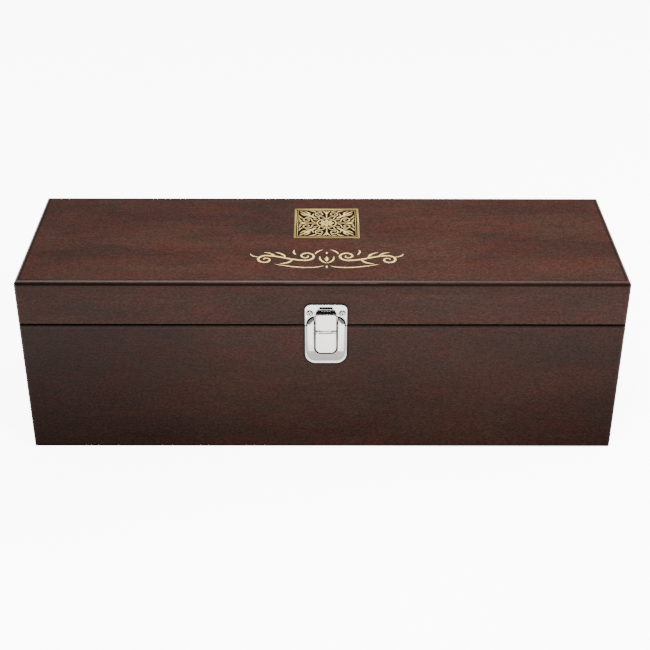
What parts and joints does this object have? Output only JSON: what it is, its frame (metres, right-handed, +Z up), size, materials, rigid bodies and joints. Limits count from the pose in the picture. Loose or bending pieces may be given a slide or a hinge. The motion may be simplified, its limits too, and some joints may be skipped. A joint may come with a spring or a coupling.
{
  "type": "wooden wine box",
  "caption": "Lacquered wooden gift box for one bottle of wine, with a hinged lid, stop hinges, a draw latch and a cloth lining with bottle saddles.",
  "frame": {"origin": "middle of the resting face, on the underside of the felt", "axes": "+X along the box to the right, +Y to the back where the hinges are, +Z up; the latch is on the -Y face"},
  "size_m": [0.362, 0.1258, 0.119],
  "materials": {
    "lacquered_wood": "dark reddish-brown figured wood under clear gloss lacquer",
    "raw_wood": "stained satin",
    "felt": "black felt",
    "lining": "short-pile velvet over board",
    "hinge_metal": "bright nickel plate",
    "latch_metal": "bright nickel plate",
    "pin_steel": "drawn steel wire",
    "gold_engraving": "matt champagne-gold filled engraving"
  },
  "bodies": {
    "base": {"base_front": "lacquered_wood", "base_back": "lacquered_wood", "base_left": "lacquered_wood", "base_right": "lacquered_wood", "base_bottom": "raw_wood", "base_felt": "felt", "liner_floor": "lining", "liner_front": "lining", "liner_back": "lining", "liner_left": "lining", "liner_right": "lining", "body_saddle": "lining", "neck_saddle": "lining", "hinge_left_base_leaf": "hinge_metal", "hinge_left_pin": "pin_steel", "hinge_right_base_leaf": "hinge_metal", "hinge_right_pin": "pin_steel", "hinge_base_screws": "hinge_metal", "latch_case": "latch_metal", "latch_case_screws": "latch_metal", "latch_pivot_pin": "pin_steel"},
    "lid": {"lid_top": "lacquered_wood", "lid_front": "lacquered_wood", "lid_back": "lacquered_wood", "lid_left": "lacquered_wood", "lid_right": "lacquered_wood", "lid_pad": "lining", "hinge_left_lid_leaf": "hinge_metal", "hinge_right_lid_leaf": "hinge_metal", "hinge_lid_screws": "hinge_metal", "keeper_plate": "latch_metal", "keeper_screws": "latch_metal"},
    "latch_lever": {"latch_lever": "latch_metal", "latch_claw_pin": "pin_steel"},
    "latch_claw": {"latch_claw": "latch_metal"}
  },
  "joints": [
    {"name": "lid_hinge", "type": "hinge", "parent": "base", "child": "lid", "pos_m": [0, 0.06, 0.08995], "axis": [-1, 0, 0], "range_deg": [0, 95]},
    {"name": "lever_pivot", "type": "hinge", "parent": "base", "child": "latch_lever", "pos_m": [0.002, -0.0597, 0.09115], "axis": [-1, 0, 0], "range_deg": [0, 100]},
    {"name": "claw_pivot", "type": "hinge", "parent": "latch_lever", "child": "latch_claw", "pos_m": [0.002, -0.0611, 0.08745], "axis": [1, 0, 0], "range_deg": [0, 130]}
  ],
  "couplings": [
    {"joint": "claw_pivot", "follows": "lever_pivot", "ratio": 1.3}
  ]
}
